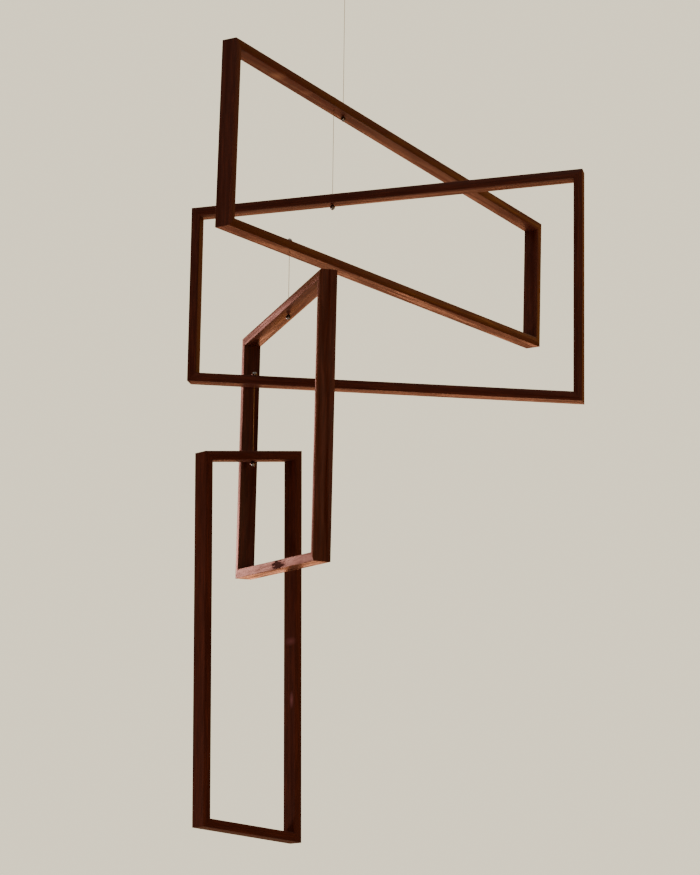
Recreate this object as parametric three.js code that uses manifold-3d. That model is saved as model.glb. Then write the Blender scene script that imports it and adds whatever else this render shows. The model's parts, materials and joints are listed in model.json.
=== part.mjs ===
// A hanging mobile: four slender wooden frames, each hung by one thin line from a rail of the
// frame above, and linked through its opening like the links of a chain.
//
// Units are millimetres, +Z is up. The origin is the middle of the ceiling cap's flat top face,
// and everything hangs below it. The wide frame's width runs along +X.

import * as THREE from 'three';
import { mergeVertices } from 'three/addons/utils/BufferGeometryUtils.js';
import Module from 'manifold-3d';

const manifold = await Module();
manifold.setup();

// ---------------------------------------------------------------- driving dimensions

const THICK = 11;               // bar section in the plane of its frame
const DEEP = 21;                // bar section square to that plane
const MITRE_GAP = 0.3;          // between the two bars of a glued mitre
const TOUCH_GAP = 0.2;          // between a bead and the rail that it bears on
const SOCKET_GAP = 0.3;         // between the ceiling line's end and its socket's bottom

const LINE_RADIUS = 0.3;        // clear nylon line
const LINE_TAIL = 0.6;          // cut end of a line, past its bead
const LINE_SIDES = 8;
const HOLE_RADIUS = 1.1;        // drilled through a rail for a line
const HOLE_SIDES = 12;
const DRILL_LENGTH = 40;        // longer than any rail is thick
const BEAD_RADIUS = 3.3;        // round steel bead crimped on a line
const BEAD_BORE = 0.5;          // radius of its bore, and of the cap's socket
const BEAD_STEPS = 8;

const CAP_RADIUS = 12;          // ceiling cap, turned, with a short neck below
const CAP_RIM = 3;
const CAP_HEIGHT = 8;
const NECK_RADIUS = 3.2;
const NECK_LENGTH = 4;
const CAP_SOCKET = 5;           // depth of the blind socket that the line goes up into
const CAP_STEPS = 8;
const TURNED_SIDES = 20;

// A frame is a trapezoid with upright, parallel posts. left and right are the outer lengths of
// its posts, span is the distance between their outer faces, and foot is how far the right
// post's foot is above the left one's. lean is how far the frame hangs turned in its own plane,
// and turn is its heading from that of the frame above, both in degrees. drop is the length of
// its line between the rail above and its own. from names the rail that the line leaves, and
// reach is how far along that rail, from the left end of the frame above.
const FRAMES = {
  upper: { left: 236, right: 176, span: 751, foot: 42, lean: -1.7, turn: 69, drop: 166 },
  wide: {
    left: 223, right: 293, span: 493, foot: -41, lean: -0.2, turn: -69, drop: 134,
    carrier: 'upper', from: 'top_rail', reach: 239.5,
  },
  middle: {
    left: 303, right: 347, span: 291, foot: -19, lean: -1.7, turn: -127.5, drop: 89,
    carrier: 'upper', from: 'bottom_rail', reach: 144.5,
  },
  tall: {
    left: 454, right: 486, span: 157, foot: -10, lean: 1.1, turn: 54.5, drop: 106,
    carrier: 'wide', from: 'bottom_rail', reach: 83.5,
  },
};

// ---------------------------------------------------------------- materials

const walnut = new THREE.MeshStandardMaterial({ color: 0x3a1a10, roughness: 0.45, metalness: 0 });
const steel = new THREE.MeshStandardMaterial({ color: 0xc9cbd0, roughness: 0.2, metalness: 1 });
const nylon = new THREE.MeshStandardMaterial({ color: 0xb9a27a, roughness: 0.3, metalness: 0 });

// ---------------------------------------------------------------- plane geometry of a frame

// Where the line through a along u meets the line through b along v.
function meet(a, u, b, v) {
  const t = b.clone().sub(a).cross(v) / u.cross(v);
  return a.clone().addScaledVector(u, t);
}

// The outer corners of a frame, clockwise from its bottom left.
function outerCorners({ left, right, span, foot, lean }) {
  const corners = [[0, 0], [0, left], [span, foot + right], [span, foot]];
  const turned = THREE.MathUtils.degToRad(lean);
  return corners.map(([x, y]) => new THREE.Vector2(x, y).rotateAround(new THREE.Vector2(), turned));
}

// The inner corners: every side moved inwards by the thickness of a bar.
function innerCorners(outer) {
  return outer.map((corner, i) => {
    const before = outer[(i + 3) % 4];
    const after = outer[(i + 1) % 4];
    const into = corner.clone().sub(before).normalize();
    const away = after.clone().sub(corner).normalize();
    const start = corner.clone().add(new THREE.Vector2(into.y, -into.x).multiplyScalar(THICK));
    const end = corner.clone().add(new THREE.Vector2(away.y, -away.x).multiplyScalar(THICK));
    return meet(start, into, end, away);
  });
}

// The area of a polygon and the x of its centroid.
function areaAndCentre(corners) {
  let area = 0;
  let moment = 0;
  corners.forEach((p, i) => {
    const q = corners[(i + 1) % corners.length];
    area += p.cross(q) / 2;
    moment += ((p.x + q.x) * p.cross(q)) / 6;
  });
  return { area: Math.abs(area), x: moment / area };
}

// The height of the straight edge from a to b at x.
function heightAt(a, b, x) {
  return a.y + ((b.y - a.y) * (x - a.x)) / (b.x - a.x);
}

// The four bars of a frame, each from its first corner to its second.
const BARS = { left_post: [0, 1], top_rail: [1, 2], right_post: [2, 3], bottom_rail: [3, 0] };

// Corners, edges and weight of one frame. A rail's upper and lower edges are given as corners.
function layOut(spec) {
  const outer = outerCorners(spec);
  const inner = innerCorners(outer);
  const whole = areaAndCentre(outer);
  const opening = areaAndCentre(inner);
  const weight = whole.area - opening.area;
  const centre = (whole.area * whole.x - opening.area * opening.x) / weight;
  const rails = {
    top_rail: { upper: [outer[1], outer[2]], lower: [inner[1], inner[2]] },
    bottom_rail: { upper: [inner[0], inner[3]], lower: [outer[0], outer[3]] },
  };
  return { spec, outer, inner, weight, centre, rails, hung: [] };
}

const layouts = Object.fromEntries(Object.entries(FRAMES).map(([name, spec]) => [name, layOut(spec)]));
for (const [name, layout] of Object.entries(layouts)) {
  if (layout.spec.carrier) layouts[layout.spec.carrier].hung.push(name);
}

// All the weight that a frame's line carries, and the x where that weight hangs in balance.
function balance(name) {
  const layout = layouts[name];
  let load = layout.weight;
  let moment = layout.weight * layout.centre;
  for (const below of layout.hung) {
    const carried = balance(below).load;
    load += carried;
    moment += carried * layouts[below].spec.reach;
  }
  return { load, x: moment / load };
}

// ---------------------------------------------------------------- solids

function toSolid(geometry) {
  const plain = geometry.clone();
  plain.deleteAttribute('normal');
  plain.deleteAttribute('uv');
  const merged = mergeVertices(plain, 1e-4);
  return new manifold.Manifold(new manifold.Mesh({
    numProp: 3,
    vertProperties: new Float32Array(merged.attributes.position.array),
    triVerts: new Uint32Array(merged.index.array),
  }));
}

function toGeometry(solid) {
  const mesh = solid.getMesh();
  const geometry = new THREE.BufferGeometry();
  geometry.setAttribute('position', new THREE.BufferAttribute(mesh.vertProperties, 3));
  geometry.setIndex(new THREE.BufferAttribute(mesh.triVerts, 1));
  return geometry;
}

function named(name, geometry, material) {
  const mesh = new THREE.Mesh(geometry, material);
  mesh.name = name;
  return mesh;
}

// One bar: the strip between an outer and an inner edge, mitred at both ends, with half of the
// mitre gap taken off each end. The frame's plane becomes XZ and its depth is centred on Y = 0.
function barGeometry(outer, inner, [from, to], hang) {
  const along = outer[to].clone().sub(outer[from]).normalize();
  const trim = (corner) => {
    const mitre = inner[corner].clone().sub(outer[corner]).normalize();
    return MITRE_GAP / 2 / Math.abs(mitre.cross(along));
  };
  const corners = [
    outer[from].clone().addScaledVector(along, trim(from)),
    outer[to].clone().addScaledVector(along, -trim(to)),
    inner[to].clone().addScaledVector(along, -trim(to)),
    inner[from].clone().addScaledVector(along, trim(from)),
  ].map((corner) => corner.sub(hang));
  const geometry = new THREE.ExtrudeGeometry(new THREE.Shape(corners), {
    depth: DEEP,
    bevelEnabled: false,
  });
  return geometry.translate(0, 0, -DEEP / 2).rotateX(Math.PI / 2);
}

// An upright hole through a rail, at (x, z) in the plane of its frame.
function drilled(geometry, x, z) {
  const drill = new THREE.CylinderGeometry(HOLE_RADIUS, HOLE_RADIUS, DRILL_LENGTH, HOLE_SIDES);
  drill.rotateX(Math.PI / 2).translate(x, 0, z);
  return toGeometry(toSolid(geometry).subtract(toSolid(drill)));
}

// A thin upright line between two heights, on the Z axis of its group.
function lineGeometry(top, bottom) {
  const section = new THREE.Shape();
  for (let i = 0; i < LINE_SIDES; i += 1) {
    const angle = (2 * Math.PI * i) / LINE_SIDES;
    const point = [LINE_RADIUS * Math.cos(angle), LINE_RADIUS * Math.sin(angle)];
    if (i === 0) section.moveTo(...point);
    else section.lineTo(...point);
  }
  const path = new THREE.LineCurve3(new THREE.Vector3(0, 0, bottom), new THREE.Vector3(0, 0, top));
  return new THREE.ExtrudeGeometry(section, { steps: 2, extrudePath: path });
}

// A lathe profile of [radius, height] pairs, turned about Z.
function turnedGeometry(profile) {
  const points = profile.map(([radius, height]) => new THREE.Vector2(radius, height));
  return new THREE.LatheGeometry(points, TURNED_SIDES).rotateX(Math.PI / 2);
}

// A round bead with a bore along Z. The profile runs up the outside and back down the bore.
function beadGeometry() {
  const start = Math.asin(BEAD_BORE / BEAD_RADIUS);
  const profile = [];
  for (let i = 0; i <= BEAD_STEPS; i += 1) {
    const angle = start + ((Math.PI - 2 * start) * i) / BEAD_STEPS;
    profile.push([BEAD_RADIUS * Math.sin(angle), -BEAD_RADIUS * Math.cos(angle)]);
  }
  profile.push(profile[0]);
  return turnedGeometry(profile);
}

// The cap that is fixed to the ceiling: a flat top, a domed underside and a neck with a blind
// socket for the line.
function capGeometry() {
  const neckEnd = -CAP_HEIGHT - NECK_LENGTH;
  const profile = [
    [0, neckEnd + CAP_SOCKET],
    [BEAD_BORE, neckEnd + CAP_SOCKET],
    [BEAD_BORE, neckEnd],
    [NECK_RADIUS, neckEnd],
  ];
  for (let i = 0; i <= CAP_STEPS; i += 1) {
    const angle = (Math.PI / 2) * (1 - i / CAP_STEPS);
    profile.push([
      NECK_RADIUS + (CAP_RADIUS - NECK_RADIUS) * Math.cos(angle),
      -CAP_RIM - (CAP_HEIGHT - CAP_RIM) * Math.sin(angle),
    ]);
  }
  profile.push([CAP_RADIUS, 0], [0, 0]);
  return turnedGeometry(profile);
}

// ---------------------------------------------------------------- assembly

// How far a bead's middle is from the rail's edge, along the line, on a rail that slopes.
function beadOffset([a, b]) {
  const slope = Math.atan2(b.y - a.y, b.x - a.x);
  return (BEAD_RADIUS + TOUCH_GAP) / Math.abs(Math.cos(slope));
}

// A frame with its line and beads and all that hangs from it. The group's origin is where the
// line meets the underside of the frame's top rail, and its X axis runs along the frame.
function buildFrame(name) {
  const { spec, outer, inner, rails, hung } = layouts[name];
  const group = new THREE.Group();
  const { x } = balance(name);
  const hang = new THREE.Vector2(x, heightAt(...rails.top_rail.lower, x));

  const holes = { top_rail: [x], bottom_rail: [] };
  for (const below of hung) holes[layouts[below].spec.from].push(layouts[below].spec.reach);

  for (const [bar, ends] of Object.entries(BARS)) {
    let geometry = barGeometry(outer, inner, ends, hang);
    for (const hole of holes[bar] ?? []) {
      const middle = heightAt(...rails[bar].lower, hole) + THICK / 2 - hang.y;
      geometry = drilled(geometry, hole - hang.x, middle);
    }
    group.add(named(`${name}_${bar}`, geometry, walnut));
  }

  const lowerBead = named(`${name}_line_lower_bead`, beadGeometry(), steel);
  lowerBead.position.z = -beadOffset(rails.top_rail.lower);
  group.add(lowerBead);

  for (const below of hung) {
    const { reach, from, turn, drop } = layouts[below].spec;
    const seat = heightAt(...rails[from].upper, reach) - hang.y;
    const lower = buildFrame(below);
    lower.position.set(reach - hang.x, 0, seat - drop);
    lower.rotation.z = THREE.MathUtils.degToRad(turn);
    group.add(lower);

    const upperBead = named(`${below}_line_upper_bead`, beadGeometry(), steel);
    const height = beadOffset(rails[from].upper);
    upperBead.position.z = drop + height;
    lower.add(upperBead);
    const top = drop + height + BEAD_RADIUS + LINE_TAIL;
    lower.add(named(`${below}_line`, lineGeometry(top, lineEnd(below)), nylon));
  }
  return group;
}

// The lower end of a frame's line, below its lower bead.
function lineEnd(name) {
  return -beadOffset(layouts[name].rails.top_rail.lower) - BEAD_RADIUS - LINE_TAIL;
}

const group = new THREE.Group();
group.add(named('ceiling_cap', capGeometry(), steel));

const upper = buildFrame('upper');
const capEnd = -CAP_HEIGHT - NECK_LENGTH;
upper.position.z = capEnd - FRAMES.upper.drop;
upper.rotation.z = THREE.MathUtils.degToRad(FRAMES.upper.turn);
group.add(upper);

const socketEnd = capEnd + CAP_SOCKET - SOCKET_GAP - upper.position.z;
upper.add(named('upper_line', lineGeometry(socketEnd, lineEnd('upper')), nylon));

export default group;
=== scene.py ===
# %% [markdown]
# # A hanging mobile of walnut frames
#
# Four slender wooden frames hang one inside another, each on one thin clear line that small steel
# beads hold. The top line goes into a cap on the ceiling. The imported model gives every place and
# size, and this lesson gives the frames their eased edges, tight mitres, wood, steel and light.

import json
import math

import bmesh
import bpy
from mathutils import Matrix, Vector


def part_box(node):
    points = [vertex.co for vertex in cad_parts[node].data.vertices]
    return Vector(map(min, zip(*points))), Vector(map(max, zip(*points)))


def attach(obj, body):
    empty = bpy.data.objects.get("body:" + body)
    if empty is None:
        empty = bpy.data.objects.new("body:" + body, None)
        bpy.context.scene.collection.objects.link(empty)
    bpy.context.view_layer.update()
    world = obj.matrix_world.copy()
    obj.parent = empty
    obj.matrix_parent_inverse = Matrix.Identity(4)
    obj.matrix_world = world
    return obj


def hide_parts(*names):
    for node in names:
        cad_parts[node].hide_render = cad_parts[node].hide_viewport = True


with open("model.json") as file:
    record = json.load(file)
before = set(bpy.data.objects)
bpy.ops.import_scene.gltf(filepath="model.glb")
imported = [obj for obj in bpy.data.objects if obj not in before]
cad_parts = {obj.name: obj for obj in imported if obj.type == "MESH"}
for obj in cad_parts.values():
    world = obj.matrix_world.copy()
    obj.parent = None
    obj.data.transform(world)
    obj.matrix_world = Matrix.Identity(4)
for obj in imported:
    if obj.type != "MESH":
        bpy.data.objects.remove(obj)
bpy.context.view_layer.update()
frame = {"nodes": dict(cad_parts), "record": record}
CAD_NODES = frame["nodes"]
MM = 0.001

# %% [markdown]
# ## The camera
#
# A mobile hangs over the viewer's head, so the camera stands about four metres away, lower than
# the work, and looks up at it. A long lens keeps the upright posts nearly parallel. A heading, a
# pitch and a small roll say all of its turn, and three rotations in that order make it.

# %% Camera
CAMERA_PLACE = (0.7975, -3.8596, -1.4876)
CAMERA_HEADING = math.radians(11.474)
CAMERA_PITCH = math.radians(12.79)
CAMERA_ROLL = math.radians(0.727)
LENS_MM = 134.9
SENSOR_MM = 36.0

camera_data = bpy.data.cameras.new("camera")
camera_data.lens = LENS_MM
camera_data.sensor_width = SENSOR_MM
camera = bpy.data.objects.new("camera", camera_data)
bpy.context.scene.collection.objects.link(camera)
camera_turn = (
    Matrix.Rotation(CAMERA_HEADING, 3, "Z")
    @ Matrix.Rotation(math.pi / 2 + CAMERA_PITCH, 3, "X")
    @ Matrix.Rotation(CAMERA_ROLL, 3, "Z")
)
camera.location = CAMERA_PLACE
camera.rotation_euler = camera_turn.to_euler()
bpy.context.scene.camera = camera
print("camera is", round(Vector(CAMERA_PLACE).length, 2), "m from the ceiling cap")

# %% [markdown]
# ## Colours and a helper for nodes
#
# Colours are easiest to choose as the hex values of a screen, but a shader works in linear light,
# so one function turns them. A second function adds a node to a material, sets its values and
# joins its inputs, which keeps each material below short enough to read as a recipe.


# %% Colour and node helpers
def linear(hex_colour):
    """A hex colour of the screen as the linear RGBA that a shader wants."""
    channels = [int(hex_colour[i : i + 2], 16) / 255 for i in (1, 3, 5)]
    return (*[c / 12.92 if c <= 0.04045 else ((c + 0.055) / 1.055) ** 2.4 for c in channels], 1.0)


def add(tree, kind, values=(), links=(), **settings):
    """A new node of that kind, with its settings, its input values and its incoming links."""
    node = tree.nodes.new(kind)
    for name, value in settings.items():
        setattr(node, name, value)
    for socket, value in dict(values).items():
        node.inputs[socket].default_value = value
    for socket, source in dict(links).items():
        tree.links.new(source, node.inputs[socket])
    return node


def new_material(name):
    """An empty node material, and the output that its shader is joined to."""
    material = bpy.data.materials.new(name)
    material.use_nodes = True
    material.node_tree.nodes.clear()
    output = material.node_tree.nodes.new("ShaderNodeOutputMaterial")
    return material, material.node_tree, output


print("a screen's middle grey is", round(linear("#808080")[0], 3), "in linear light")

# %% [markdown]
# ## The lines
#
# Each frame hangs on clear nylon line, 0.6 mm thick, pulled straight by the weight below it. Such
# a line is a curve with a round bevel, which keeps its true thickness at any distance. It follows
# the line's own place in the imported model, from its top to its cut end under the lower bead.

# %% Lines
FRAME_NAMES = ("upper", "wide", "middle", "tall")
LINE_DIAMETER = 0.6 * MM
LINE_POINTS = 16
LINE_ROUNDNESS = 3


def straight_line(name, top, bottom):
    """A round line from top to bottom, as a curve of one open spline."""
    data = bpy.data.curves.new(name, "CURVE")
    data.dimensions = "3D"
    data.bevel_depth = LINE_DIAMETER / 2
    data.bevel_resolution = LINE_ROUNDNESS
    data.use_fill_caps = True
    spline = data.splines.new("POLY")
    spline.points.add(LINE_POINTS - 1)
    for i, point in enumerate(spline.points):
        point.co = (*top.lerp(bottom, i / (LINE_POINTS - 1)), 1)
    line = bpy.data.objects.new(name, data)
    bpy.context.scene.collection.objects.link(line)
    return line


lines, line_ends = {}, {}
for frame_name in FRAME_NAMES:
    low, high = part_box(f"{frame_name}_line")
    middle = (low + high) / 2
    top, bottom = Vector((middle.x, middle.y, high.z)), Vector((middle.x, middle.y, low.z))
    lines[frame_name] = straight_line(f"{frame_name}_hanging_line", top, bottom)
    line_ends[frame_name] = (top, bottom)
    print(frame_name, "line is", round((top - bottom).length / MM, 1), "mm long")

# %% [markdown]
# ## Nylon
#
# Monofilament is drawn clear nylon with a faint straw colour. It bends light as a thin rod of
# glass does, so most of it is transmission, and its smooth skin gives a fine bright edge.


# %% Nylon material
def clear_nylon():
    """Clear nylon, with the slightly uneven skin of a drawn line."""
    material, tree, output = new_material("clear nylon monofilament")
    place = add(tree, "ShaderNodeTexCoord")
    # The die that the line is drawn through leaves slightly duller stretches, about 4 mm apart.
    dull = add(
        tree,
        "ShaderNodeTexNoise",
        {"Scale": 1 / (4 * MM), "Detail": 1.0},
        {"Vector": place.outputs["Object"]},
    )
    roughness = add(
        tree,
        "ShaderNodeMapRange",
        {"To Min": 0.14, "To Max": 0.3},
        {"Value": dull.outputs["Fac"]},
    )
    shader = add(
        tree,
        "ShaderNodeBsdfPrincipled",
        {"Base Color": linear("#b98f58"), "IOR": 1.53, "Transmission Weight": 0.35},
        {"Roughness": roughness.outputs["Result"]},
    )
    tree.links.new(shader.outputs["BSDF"], output.inputs["Surface"])
    return material


NYLON = clear_nylon()
for line in lines.values():
    line.data.materials.append(NYLON)
print("nylon on", len(lines), "lines")

# %% [markdown]
# ## Steel
#
# The beads are small turned balls of polished stainless steel, and the ceiling cap is turned from
# the same bar. A polished metal shows little of its own but a plain grey and what it reflects; a
# very fine unevenness from the polishing wheel keeps the reflection from looking like a mirror's.


# %% Steel material
def polished_steel():
    """Polished steel, with the very fine marks of the wheel."""
    material, tree, output = new_material("polished stainless steel")
    place = add(tree, "ShaderNodeTexCoord")
    # Polishing marks are about 0.3 mm apart, here drawn at 0.6 mm so that they can show.
    marks = add(
        tree,
        "ShaderNodeTexNoise",
        {"Scale": 1 / (0.6 * MM), "Detail": 2.0, "Roughness": 0.5},
        {"Vector": place.outputs["Object"]},
    )
    roughness = add(
        tree,
        "ShaderNodeMapRange",
        {"To Min": 0.05, "To Max": 0.14},
        {"Value": marks.outputs["Fac"]},
    )
    shader = add(
        tree,
        "ShaderNodeBsdfPrincipled",
        {"Base Color": linear("#808185"), "Metallic": 1.0},
        {"Roughness": roughness.outputs["Result"]},
    )
    tree.links.new(shader.outputs["BSDF"], output.inputs["Surface"])
    return material


STEEL = polished_steel()
print("steel has", len(STEEL.node_tree.nodes), "nodes")

# %% [markdown]
# ## Turned pieces
#
# A bead and a cap are both lathe work: half a profile, spun once round the axis. A finished piece
# keeps its object at the origin, with its place in its mesh. A spin can turn a shape inside out,
# so the normals are worked out again once its doubles are merged.

# %% Spin helper
SPIN_STEPS = 48
ON_THE_AXIS = 1e-7
SAME_PLACE = 1e-6
SHARP_STEEL_EDGE = math.radians(40)


def spun(name, profile, centre):
    """A closed solid of revolution about a vertical axis, from (radius, height) points."""
    shape = bmesh.new()
    points = [shape.verts.new((radius, 0, height)) for radius, height in profile]
    for a, b in zip(points, points[1:] + points[:1]):
        if max(a.co.x, b.co.x) > ON_THE_AXIS:
            shape.edges.new((a, b))
    bmesh.ops.spin(
        shape,
        geom=shape.verts[:] + shape.edges[:],
        cent=(0, 0, 0),
        axis=(0, 0, 1),
        angle=2 * math.pi,
        steps=SPIN_STEPS,
        use_merge=True,
    )
    bmesh.ops.remove_doubles(shape, verts=shape.verts, dist=SAME_PLACE)
    bmesh.ops.recalc_face_normals(shape, faces=shape.faces)
    bmesh.ops.translate(shape, verts=shape.verts, vec=centre)
    mesh = bpy.data.meshes.new(name)
    shape.to_mesh(mesh)
    shape.free()
    mesh.shade_smooth()
    mesh.set_sharp_from_angle(angle=SHARP_STEEL_EDGE)
    piece = bpy.data.objects.new(name, mesh)
    bpy.context.scene.collection.objects.link(piece)
    return piece


print("a full spin has", SPIN_STEPS, "steps of", 360 / SPIN_STEPS, "degrees")

# %% [markdown]
# ## Beads
#
# The bead's profile is most of a half circle that turns in to a small bore, so the line really
# passes through it. Its round ends at the bore, which is a little wider than the line.

# %% Beads
BEAD_RADIUS = 3.3 * MM
BORE_RADIUS = 0.42 * MM
BEAD_STEPS = 24

bore_angle = math.asin(BORE_RADIUS / BEAD_RADIUS)
bead_profile = []
for step in range(BEAD_STEPS + 1):
    angle = bore_angle + (math.pi - 2 * bore_angle) * step / BEAD_STEPS
    bead_profile.append((BEAD_RADIUS * math.sin(angle), -BEAD_RADIUS * math.cos(angle)))

beads = {}
for node in CAD_NODES:
    if node.endswith("_bead"):
        low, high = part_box(node)
        beads[node] = spun(node.replace("_line_", "_steel_"), bead_profile, (low + high) / 2)
        beads[node].data.materials.append(STEEL)
print(len(beads), "beads, each", round(2 * BEAD_RADIUS / MM, 1), "mm across")

# %% [markdown]
# ## The ceiling cap
#
# The cap sits flat against the ceiling and holds the top line in a short neck. Its underside is a
# low dome with an eased rim, spun from a quarter of an ellipse, and the socket stays open.

# %% Ceiling cap
cap_low, cap_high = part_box("ceiling_cap")
CAP_RADIUS = (cap_high.x - cap_low.x) / 2
CAP_DEPTH = cap_high.z - cap_low.z
CAP_RIM = 3.0 * MM
CAP_EASE = 0.4 * MM
NECK_RADIUS = 3.2 * MM
NECK_LENGTH = 4.0 * MM
SOCKET_RADIUS = 0.5 * MM
SOCKET_DEPTH = 5.0 * MM
DOME_STEPS = 16

cap_profile = [
    (0, SOCKET_DEPTH - CAP_DEPTH),
    (SOCKET_RADIUS, SOCKET_DEPTH - CAP_DEPTH),
    (SOCKET_RADIUS, -CAP_DEPTH),
    (NECK_RADIUS - CAP_EASE, -CAP_DEPTH),
    (NECK_RADIUS, CAP_EASE - CAP_DEPTH),
]
dome_depth = CAP_DEPTH - NECK_LENGTH - CAP_RIM
for step in range(DOME_STEPS + 1):
    angle = math.pi / 2 * (1 - step / DOME_STEPS)
    radius = NECK_RADIUS + (CAP_RADIUS - NECK_RADIUS) * math.cos(angle)
    cap_profile.append((radius, -CAP_RIM - dome_depth * math.sin(angle)))
cap_profile += [(CAP_RADIUS, -CAP_EASE), (CAP_RADIUS - CAP_EASE, 0), (0, 0)]
cap = spun("ceiling_cap_turned", cap_profile, (0, 0, 0))
cap.data.materials.append(STEEL)
print("cap is", round(2 * CAP_RADIUS / MM, 1), "mm across and", round(CAP_DEPTH / MM, 1), "mm deep")

# %% [markdown]
# ## A bar, from its CAD solid
#
# Each bar is a strip of planed wood, 11 by 21 mm, sawn to a mitre at both ends and drilled where
# a line passes. The CAD solid already has that shape, so the bar starts as a copy of it. The
# solid is loose triangles, so the copy's doubles are merged and its flat faces made whole. Then
# its directions can be read off: the longest edge runs along it, and of the sides that stand
# upright the largest are its front and its back, because every frame hangs in an upright plane.

# %% Copy of a bar, and its axes
FLAT_ENOUGH = math.radians(0.5)
SQUARE_ENOUGH = 0.01
UPRIGHT_ENOUGH = 0.001
UP_COUNTS = 3


def bar_copy(node):
    """A bmesh of the CAD bar, with whole flat faces."""
    shape = bmesh.new()
    shape.from_mesh(CAD_NODES[node].data)
    bmesh.ops.remove_doubles(shape, verts=shape.verts, dist=SAME_PLACE)
    bmesh.ops.dissolve_limit(
        shape, angle_limit=FLAT_ENOUGH, verts=shape.verts, edges=shape.edges
    )
    shape.normal_update()
    return shape


def bar_axes(shape):
    """The unit vectors along a bar, across its 11 mm side and through its 21 mm side."""
    longest = max(shape.edges, key=lambda edge: edge.calc_length())
    along = (longest.verts[1].co - longest.verts[0].co).normalized()
    # A rail is counted from left to right, and a post from its foot up.
    if along.x + UP_COUNTS * along.z < 0:
        along = -along
    sides = [face for face in shape.faces if abs(face.normal.dot(along)) < SQUARE_ENOUGH]
    upright = [face for face in sides if abs(face.normal.z) < UPRIGHT_ENOUGH]
    through = max(upright, key=lambda face: face.calc_area()).normal.normalized()
    if through.y < 0:
        through = -through
    return along, along.cross(through).normalized(), through


shape = bar_copy("wide_top_rail")
print("the wide top rail runs along", [round(x, 3) for x in bar_axes(shape)[0]])
shape.free()

# %% [markdown]
# ## Tight mitres and eased edges
#
# Two things are missing on a copy: the ends stop short of the joint's middle, and the edges are
# knife sharp. So the ends are moved out until the mitres nearly touch, and the four long edges
# are eased with a small round bevel. The edges of the ends stay sharp, so a mitre is a tight line.

# %% Eased bar
MITRE_REACH = 0.12 * MM
MITRE_LEAN = 0.3
MITRE_AREA = 1e-4
EDGE_EASE = 0.7 * MM
EASE_SEGMENTS = 3
PARALLEL_ENOUGH = 0.9999
CORNER_ANGLE = math.radians(60)


def eased_bar(node):
    """A bmesh of the bar with closed mitres and eased long edges, and its three axes."""
    shape = bar_copy(node)
    along, across, through = bar_axes(shape)
    ends = [face for face in shape.faces if abs(face.normal.dot(along)) > MITRE_LEAN]
    for mitre in [face for face in ends if face.calc_area() > MITRE_AREA]:
        reach = along * (MITRE_REACH / mitre.normal.dot(along))
        bmesh.ops.translate(shape, verts=mitre.verts, vec=reach)
    length = max(edge.calc_length() for edge in shape.edges)
    long_edges = [
        edge
        for edge in shape.edges
        if edge.is_manifold
        and abs((edge.verts[1].co - edge.verts[0].co).normalized().dot(along)) > PARALLEL_ENOUGH
        and edge.calc_face_angle(0) > CORNER_ANGLE
        and edge.calc_length() > length / 2
    ]
    bmesh.ops.bevel(
        shape,
        geom=long_edges,
        offset=EDGE_EASE,
        segments=EASE_SEGMENTS,
        profile=0.5,
        affect="EDGES",
        material=-1,
    )
    return shape, (along, across, through), len(long_edges)


shape, _, eased = eased_bar("wide_top_rail")
print("wide top rail:", eased, "eased edges,", len(shape.faces), "faces")
shape.free()

# %% [markdown]
# ## Grain that follows the bar
#
# Wood grain runs along a bar whichever way the bar hangs, so no fixed axis will do. Every bar
# carries an attribute, grain, with each point's place along, across and through the bar, in
# metres from the bar's middle. The pattern in the wood reads that, and so turns with the bar.

# %% Make the bars
BAR_PARTS = ("top_rail", "bottom_rail", "left_post", "right_post")
SHARP_WOOD_EDGE = math.radians(35)
bars = {}


def make_bar(node):
    """The finished bar, with its grain attribute."""
    shape, axes, _ = eased_bar(node)
    mesh = bpy.data.meshes.new(f"{node}_bar")
    shape.to_mesh(mesh)
    shape.free()
    low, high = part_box(node)
    centre = (low + high) / 2
    grain = mesh.attributes.new("grain", "FLOAT_VECTOR", "POINT")
    for vertex, value in zip(mesh.vertices, grain.data):
        place = vertex.co - centre
        value.vector = [place.dot(axis) for axis in axes]
    mesh.shade_smooth()
    mesh.set_sharp_from_angle(angle=SHARP_WOOD_EDGE)
    bar = bpy.data.objects.new(f"{node}_bar", mesh)
    bpy.context.scene.collection.objects.link(bar)
    return bar


for frame_name in FRAME_NAMES:
    for part in BAR_PARTS:
        node = f"{frame_name}_{part}"
        bars[node] = make_bar(node)
print(len(bars), "bars,", sum(len(bar.data.polygons) for bar in bars.values()), "faces")

# %% [markdown]
# ## Walnut
#
# The wood is a dark walnut, planed and sanded along the grain, then oiled and buffed to a satin
# sheen. To the eye it is a deep red-brown, nearly black face on, and a face seen along its length
# takes the colour of the light behind it. Three scales make the grain: slow bands of darker and
# lighter wood some 5 mm wide, fine lines under a millimetre wide, and open pores, which are short
# grooves a few millimetres long. All three are noise that is stretched along the bar.

# %% Grain
# Each has its features' size along, across and through the bar in mm, and its noise's settings.
# Real pores are some 0.2 mm wide. They are drawn at 0.35 mm, and even so show only close up.
BANDS = ((120, 5, 6), {"Detail": 3.0, "Roughness": 0.55, "Distortion": 0.6})
FINE_LINES = ((28, 0.9, 0.9), {"Detail": 4.0, "Roughness": 0.6})
PORES = ((5, 0.35, 0.35), {"Detail": 2.0, "Roughness": 0.5})
SEED_WAY = (1.0, 2.3, -1.7)


def grain_pattern(tree, grain, seed, size, settings):
    """Noise from 0 to 1, stretched to features of that size in the grain."""
    place = {
        "Location": [seed * step for step in SEED_WAY],
        "Scale": [1 / (side * MM) for side in size],
    }
    stretched = add(tree, "ShaderNodeMapping", place, {"Vector": grain})
    vector = {"Vector": stretched.outputs["Vector"]}
    return add(tree, "ShaderNodeTexNoise", {"Scale": 1.0, **settings}, vector).outputs["Fac"]


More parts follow.
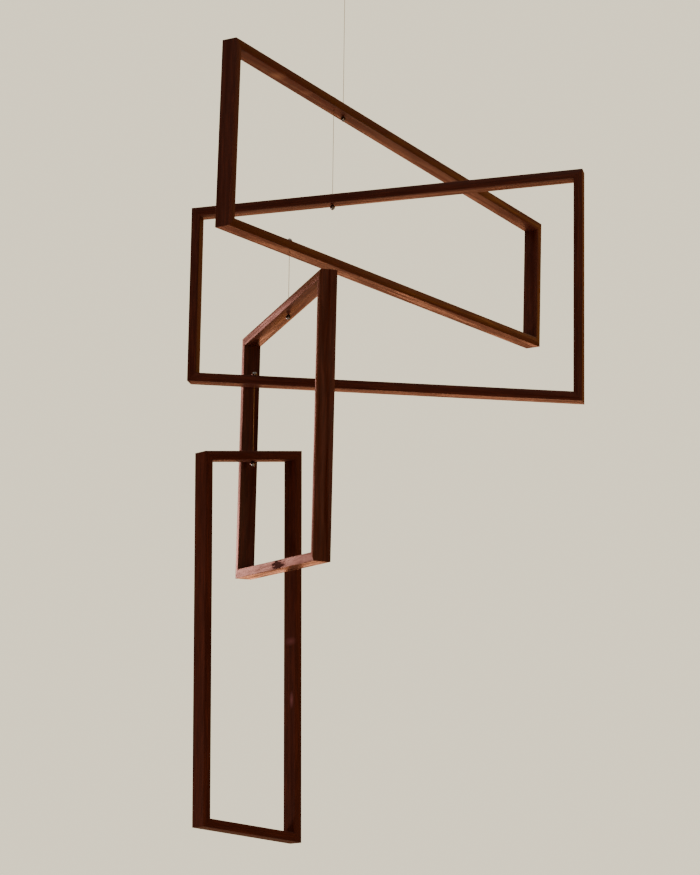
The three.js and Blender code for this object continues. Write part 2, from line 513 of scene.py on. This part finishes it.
print("bands, fine lines and pores are", BANDS[0][1], FINE_LINES[0][1], PORES[0][1], "mm wide")

# %% [markdown]
# ## The brown of the wood
#
# The bands and the fine lines are added, and the sum picks a tone from a short ramp of three
# browns. Most of the wood is near the middle one, and only the darkest bands and the lightest
# lines reach the two ends.

# %% Brown
BAND_SHARE = 0.62
BROWNS = ((0.55, "#360f07"), (0.8, "#43170a"), (1.0, "#582312"))


def walnut_brown(tree, bands, fine_lines):
    """The colour of the wood, from its bands and its fine lines."""
    parts = {0: bands, 2: fine_lines}
    tone = add(tree, "ShaderNodeMath", {1: BAND_SHARE}, parts, operation="MULTIPLY_ADD")
    ramp = add(tree, "ShaderNodeValToRGB", (), {"Fac": tone.outputs["Value"]})
    stops = ramp.color_ramp.elements
    # A new ramp has its two ends already, so only the middle brown is added.
    stops.new(BROWNS[1][0])
    for stop, (position, brown) in zip(stops, BROWNS):
        stop.position = position
        stop.color = linear(brown)
    return ramp.outputs["Color"]


print("the browns run from", BROWNS[0][1], "to", BROWNS[-1][1])

# %% [markdown]
# ## A knot, and painted sheen
#
# One rail has a knot, and two bars have small paler patches of painted sheen near one edge. Each is
# in one place on one bar, where no noise would put it. A round gradient, moved and squeezed by a
# Mapping node of the texture kind, makes a soft ellipsoid there. The bands break up the knot's
# outline, and round it the grain runs wild, so its rail has faint dark patches too.

# %% Knot and spots
WILD_GRAIN = ((12, 5, 6), {"Detail": 3.0, "Roughness": 0.6})
WILD_SHARE = 0.15
KNOT_FULL = 0.26


def spot(tree, grain, place, half_size):
    """1 at a place in the grain, and 0 from an ellipsoid of that half size outwards."""
    local = add(
        tree,
        "ShaderNodeMapping",
        {"Location": [x * MM for x in place], "Scale": [x * MM for x in half_size]},
        {"Vector": grain},
        vector_type="TEXTURE",
    )
    ball = {"Vector": local.outputs["Vector"]}
    return add(tree, "ShaderNodeTexGradient", (), ball, gradient_type="SPHERICAL").outputs["Fac"]


def knotted(tree, grain, seed, bands, knot):
    """How far the wood is knot, from 0 to 1."""
    wild = grain_pattern(tree, grain, seed, *WILD_GRAIN)
    faint = {"From Min": 0.42, "From Max": 0.68, "To Max": WILD_SHARE}
    patches = add(tree, "ShaderNodeMapRange", faint, {"Value": wild}).outputs["Result"]
    parts = {0: spot(tree, grain, *knot), 1: bands, 2: patches}
    core = add(tree, "ShaderNodeMath", (), parts, operation="MULTIPLY_ADD").outputs["Value"]
    full = {"From Max": KNOT_FULL}
    return add(tree, "ShaderNodeMapRange", full, {"Value": core}).outputs["Result"]


print("patches of wild grain are", WILD_GRAIN[0][0], "mm long")

# %% [markdown]
# ## The finish
#
# The bands take up the oil unevenly, so they set the roughness, and the pores are a very shallow
# relief. How much a bar was buffed is one number, which makes it both smoother and shinier. A knot
# takes no polish, so it is dull as well as dark.

# %% Walnut material
SATIN = (0.38, 0.66)
PLAIN_SHINE = 0.35
SHINE_PER_BUFFING = 1.2
PORE_DEPTH = 0.04 * MM
KNOT_BROWN = "#300d08"
KNOT_SHINE = 0.003


def oiled_walnut(name, seed, buffed, knot, sheen_patches):
    """Oiled walnut for one bar, with its knot and its painted sheen where it has them."""
    material, tree, output = new_material(name)
    grain = add(tree, "ShaderNodeAttribute", attribute_name="grain").outputs["Vector"]
    bands = grain_pattern(tree, grain, seed, *BANDS)
    colour = walnut_brown(tree, bands, grain_pattern(tree, grain, seed, *FINE_LINES))
    shine = PLAIN_SHINE + SHINE_PER_BUFFING * buffed

    satin = {
        "From Min": 0.35,
        "From Max": 0.65,
        "To Min": SATIN[0] - buffed,
        "To Max": SATIN[1] - buffed,
    }
    roughness = add(tree, "ShaderNodeMapRange", satin, {"Value": bands})
    pores = {"Value": grain_pattern(tree, grain, seed, *PORES)}
    grooves = add(tree, "ShaderNodeMapRange", {"From Min": 0.3, "From Max": 0.5}, pores)
    shallow = {"Strength": 0.1, "Distance": PORE_DEPTH}
    relief = add(tree, "ShaderNodeBump", shallow, {"Height": grooves.outputs["Result"]})
    varied = {"Roughness": roughness.outputs["Result"], "Normal": relief.outputs["Normal"]}

    tints = []
    if knot:
        dark = knotted(tree, grain, seed, bands, knot)
        tints.append((dark, KNOT_BROWN))
        dulling = {"To Min": shine, "To Max": KNOT_SHINE}
        dulled = add(tree, "ShaderNodeMapRange", dulling, {"Value": dark})
        varied["Specular IOR Level"] = dulled.outputs["Result"]
    # Each paler patch is painted sheen, mixed into the brown as the knot's colour is.
    tints += [(spot(tree, grain, place, half_size), sheen_colour) for place, half_size, sheen_colour in sheen_patches]
    for share, tint in tints:
        # A Mix node repeats its sockets for each kind of data: 6, 7 and output 2 are its colours.
        parts = {0: share, 6: colour}
        mix = add(tree, "ShaderNodeMix", {7: linear(tint)}, parts, data_type="RGBA")
        colour = mix.outputs[2]

    plain = {"IOR": 1.45, "Specular IOR Level": shine}
    shader = add(tree, "ShaderNodeBsdfPrincipled", plain, {"Base Color": colour, **varied})
    tree.links.new(shader.outputs["BSDF"], output.inputs["Surface"])
    return material


print("satin roughness runs from", SATIN[0], "to", SATIN[1])

# %% [markdown]
# ## Walnut on every bar
#
# Every bar has a material of its own, with its own step into the noise, which keeps two bars from
# being cut out of the same piece of wood. The middle frame was buffed most and the tall one least.

# %% Walnut on each bar
SEED_STEP = 0.731
BUFFED = {
    "upper": 0.02,
    "wide": 0.0,
    "middle": 0.13,
    "middle_bottom_rail": 0.155,
    "middle_left_post": 0.07,
    "tall": -0.1,
}
# Places and half sizes are along, across and through the bar, in mm from its middle.
KNOTS = {"middle_bottom_rail": ((18, 0, -10.5), (35, 8.5, 6.5))}
# Paler patches of painted sheen, each with its place, half size and colour.
PAINTED_SHEEN_PATCHES = {
    "tall_right_post": (
        ((-69, 5.5, -4), (12, 3, 4), "#7c4c52"),
        ((3.5, 5.5, -2), (6, 3, 12), "#6c3c3e"),
    ),
    "upper_top_rail": (
        ((-272, -5.5, -1), (14, 5, 12), "#845840"),
        ((-209, -5.5, -2), (12, 5, 9), "#744836"),
    ),
}
for number, (node, bar) in enumerate(bars.items(), start=1):
    wood = oiled_walnut(
        f"oiled walnut {node}",
        SEED_STEP * number,
        BUFFED.get(node, BUFFED[node.split("_")[0]]),
        KNOTS.get(node),
        PAINTED_SHEEN_PATCHES.get(node, ()),
    )
    bar.data.materials.append(wood)
print("walnut on", len(bars), "bars")

# %% [markdown]
# ## Riding on the bodies
#
# Every piece rides on the body of the CAD node that it stands for, so it turns with its frame. It
# also takes that node's place, because two copies of a bar would show through one another.

# %% Ride and replace
BODIES = frame["record"]["behaviour"]["bodies"]
BODY_OF = {node: body for body, nodes in BODIES.items() for node in nodes}


def stands_for(piece, node):
    """piece replaces the CAD node and moves with its body."""
    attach(piece, BODY_OF[node])
    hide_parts(node)


for node, bar in bars.items():
    stands_for(bar, node)
for node, bead in beads.items():
    stands_for(bead, node)
stands_for(cap, "ceiling_cap")
for frame_name, line in lines.items():
    stands_for(line, f"{frame_name}_line")
print("pieces ride on", sorted({BODY_OF[node] for node in CAD_NODES}))

# %% [markdown]
# ## The lengths of the lines
#
# A hanging line is a cord of one fixed length, held taut by the weight below it. The upper line
# leaves the upper frame's bead and ends in the cap, its fitting. The other three run from one
# frame to the next, so both ends are on the object. Here their lengths are added up.

for frame_name, line in lines.items():
    top, bottom = line_ends[frame_name]
all_length = sum((top - bottom).length for top, bottom in line_ends.values())
print(len(lines), "taut lines,", round(all_length / MM), "mm in all")

# %% [markdown]
# ## The room
#
# The floor is a plain pale plane, as far below the cap as a floor is below a ceiling. Its matt
# paint scatters light evenly, so it stays one quiet tone and mirrors nothing of the work.

# %% Floor
ROOM_HEIGHT = 2.5
FLOOR_SIZE = 7.0

floor_shape = bmesh.new()
bmesh.ops.create_grid(floor_shape, x_segments=1, y_segments=1, size=FLOOR_SIZE / 2)
bmesh.ops.translate(floor_shape, verts=floor_shape.verts, vec=(0, 0, -ROOM_HEIGHT))
floor_mesh = bpy.data.meshes.new("studio_floor")
floor_shape.to_mesh(floor_mesh)
floor_shape.free()
floor = bpy.data.objects.new("studio_floor", floor_mesh)
bpy.context.scene.collection.objects.link(floor)
floor_material, floor_tree, floor_output = new_material("pale matt paint")
floor_shader = add(
    floor_tree,
    "ShaderNodeBsdfPrincipled",
    {"Base Color": linear("#f6f0e2"), "Roughness": 0.85},
)
floor_tree.links.new(floor_shader.outputs["BSDF"], floor_output.inputs["Surface"])
floor_mesh.materials.append(floor_material)
print("floor is", ROOM_HEIGHT, "m below the cap")

# %% [markdown]
# ## The walls and the ceiling
#
# A world of light stands in for them. Smooth wood mirrors whatever lies behind it at a low angle,
# so the far wall is warm and bright, and the near side is dim, which keeps the wood dark. The
# ceiling's light is paler. The wall that the camera sees is paler too, and gives no light.

# %% Room light
WALL_SEEN = 1.5
CEILING_LIGHT = 0.95
WALL_LIGHT = 0.5
DIM_SIDE_LIGHT = 0.09

world = bpy.data.worlds.new("pale room")
bpy.context.scene.world = world
world.use_nodes = True
room = world.node_tree
room.nodes.clear()
way = add(room, "ShaderNodeTexCoord").outputs["Generated"]
way_parts = add(room, "ShaderNodeSeparateXYZ", (), {"Vector": way})
fade = {"From Min": -0.2, "From Max": 0.8, "To Min": DIM_SIDE_LIGHT, "To Max": WALL_LIGHT}
around = add(room, "ShaderNodeMapRange", fade, {"Value": way_parts.outputs["Y"]})
rise = {"From Min": 0.35, "From Max": 0.75}
upward = add(room, "ShaderNodeMapRange", rise, {"Value": way_parts.outputs["Z"]})

wall_strength = {"Strength": around.outputs["Result"]}
wall = add(room, "ShaderNodeBackground", {"Color": linear("#f09438")}, wall_strength)
above = {"Color": linear("#fff0dc"), "Strength": CEILING_LIGHT}
ceiling = add(room, "ShaderNodeBackground", above)
parts = {0: upward.outputs["Result"], 1: wall.outputs[0], 2: ceiling.outputs[0]}
given = add(room, "ShaderNodeMixShader", (), parts)

seen = add(room, "ShaderNodeBackground", {"Color": linear("#f2e6c8"), "Strength": WALL_SEEN})
camera_ray = add(room, "ShaderNodeLightPath").outputs["Is Camera Ray"]
parts = {0: camera_ray, 1: given.outputs[0], 2: seen.outputs[0]}
either = add(room, "ShaderNodeMixShader", (), parts)
add(room, "ShaderNodeOutputWorld", (), {"Surface": either.outputs[0]})
print("wall light", WALL_LIGHT, "and on the dim side", DIM_SIDE_LIGHT)

# %% [markdown]
# ## Soft panels
#
# Five soft rectangles of light shape the wood. A tall one like a window rakes along the frames
# from behind on the left, one behind lights their undersides, one behind on the right warms the
# long faces, a small one low on the left puts the glint on each bead, and a dim one fills in the
# camera's side.


# %% Panels
MIDDLE_OF_WORK = Vector((0.0, -0.05, -0.6))


def panel(name, place, size, power, colour, spread=180):
    """A soft rectangle of light that faces the work, in metres, watts and degrees."""
    data = bpy.data.lights.new(name, "AREA")
    data.shape = "RECTANGLE"
    data.size, data.size_y = size
    data.spread = math.radians(spread)
    data.energy = power
    data.color = linear(colour)[:3]
    light = bpy.data.objects.new(name, data)
    bpy.context.scene.collection.objects.link(light)
    light.location = place
    light.rotation_euler = (MIDDLE_OF_WORK - Vector(place)).to_track_quat("-Z", "Y").to_euler()
    # The panels light the work, but they aren't seen behind it.
    light.visible_camera = False


panel("window_left", (-2.0, 2.3, -0.35), (1.1, 1.5), 10.0, "#ffb0a2", 90)
panel("low_back", (-0.45, 2.8, -0.87), (1.2, 0.4), 7.8, "#ffa47c")
panel("warm_right", (2.9, 2.8, 0.8), (1.0, 1.0), 7.0, "#ffa050")
panel("front_fill", (2.2, -3.9, -1.0), (1.2, 1.2), 3.0, "#ffcc96", 60)
panel("low_left", (-1.9, -0.5, -2.0), (0.5, 0.5), 2.2, "#fff2e4", 70)
